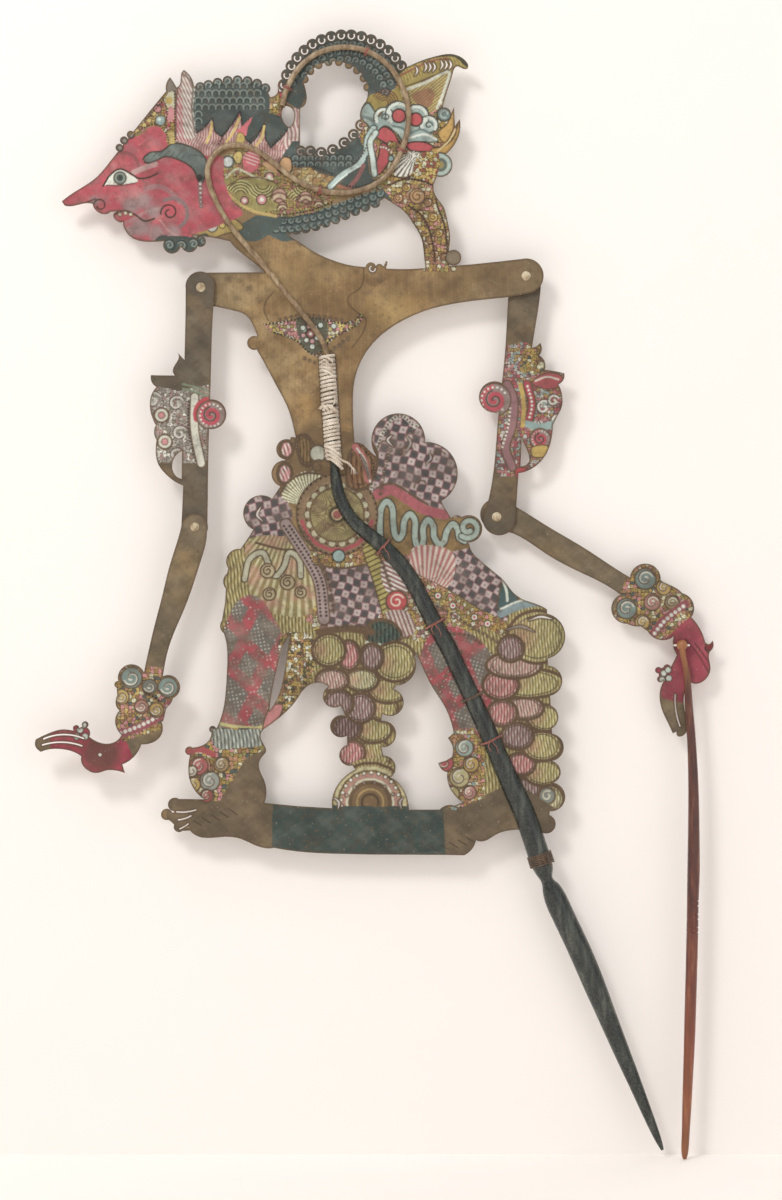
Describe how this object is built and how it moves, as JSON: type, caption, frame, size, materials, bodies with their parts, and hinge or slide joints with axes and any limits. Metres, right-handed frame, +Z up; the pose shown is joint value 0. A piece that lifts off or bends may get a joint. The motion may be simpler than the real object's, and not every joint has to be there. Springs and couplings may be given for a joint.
{
  "type": "shadow puppet",
  "caption": "Flat pierced and painted hide shadow puppet with jointed arms, a split horn main rod gripping the body and a horn rod tied to one hand.",
  "frame": {"origin": "narrow neck of the main rod, on its centre line, where the holder's fingers sit", "axes": "+Z up along the standing figure, +X towards the arm with the hand rod, -Y out of the painted front face"},
  "size_m": [0.4105, 0.0142, 0.6829],
  "materials": {
    "painted_hide": "matte painted rawhide",
    "arm_hide": "matte painted rawhide",
    "bone": "polished bone",
    "black_horn": "satin buffalo horn",
    "pale_horn": "satin pale horn",
    "red_horn": "satin translucent horn",
    "cotton_string": "soiled cotton",
    "grip_cord": "worn cord",
    "tie_thread": "thread"
  },
  "bodies": {
    "puppet": {"body_hide": "painted_hide", "main_rod": "black_horn", "rod_leg_front": "black_horn", "rod_leg_rear": "black_horn", "front_rib": "pale_horn", "rear_rib": "pale_horn", "waist_binding": "cotton_string", "rib_tie_neck": "tie_thread", "rib_tie_crown": "tie_thread", "rib_tie_top": "tie_thread", "rib_tie_end": "tie_thread", "rod_tie_high": "tie_thread", "rod_tie_middle": "tie_thread", "rod_tie_wire": "tie_thread", "rod_tie_low": "tie_thread", "grip_winding": "grip_cord", "left_shoulder_pin": "bone", "left_shoulder_cap": "bone", "right_shoulder_pin": "bone", "right_shoulder_cap": "bone"},
    "left_upper_arm": {"left_upper_arm": "arm_hide", "left_elbow_pin": "bone", "left_elbow_cap": "bone"},
    "left_forearm": {"left_forearm": "arm_hide"},
    "right_upper_arm": {"right_upper_arm": "arm_hide", "right_elbow_pin": "bone", "right_elbow_cap": "bone"},
    "right_forearm": {"right_forearm": "arm_hide"},
    "rod_loop": {"hand_rod_tie": "tie_thread"},
    "hand_rod": {"hand_rod": "red_horn"}
  },
  "joints": [
    {"name": "left_shoulder", "type": "hinge", "parent": "puppet", "child": "left_upper_arm", "pos_m": [-0.2093, -0.0028, 0.3582], "axis": [0, 1, 0], "range_deg": [-22, 90]},
    {"name": "left_elbow", "type": "hinge", "parent": "left_upper_arm", "child": "left_forearm", "pos_m": [-0.213, -0.0043, 0.2136], "axis": [0, -1, 0], "range_deg": [-120, 55]},
    {"name": "right_shoulder", "type": "hinge", "parent": "puppet", "child": "right_upper_arm", "pos_m": [-0.0127, 0.0028, 0.3654], "axis": [0, -1, 0], "range_deg": [0, 75]},
    {"name": "right_elbow", "type": "hinge", "parent": "right_upper_arm", "child": "right_forearm", "pos_m": [-0.0304, 0.0043, 0.2198], "axis": [0, -1, 0], "range_deg": [0, 70]},
    {"name": "hand_rod_swing", "type": "hinge", "parent": "right_forearm", "child": "rod_loop", "pos_m": [0.0815, 0.0043, 0.142], "axis": [0, -1, 0], "range_deg": [0, 75]},
    {"name": "hand_rod_tilt", "type": "hinge", "parent": "rod_loop", "child": "hand_rod", "pos_m": [0.0815, -0.0015, 0.142], "axis": [-1, 0, 0], "range_deg": [0, 60]}
  ]
}
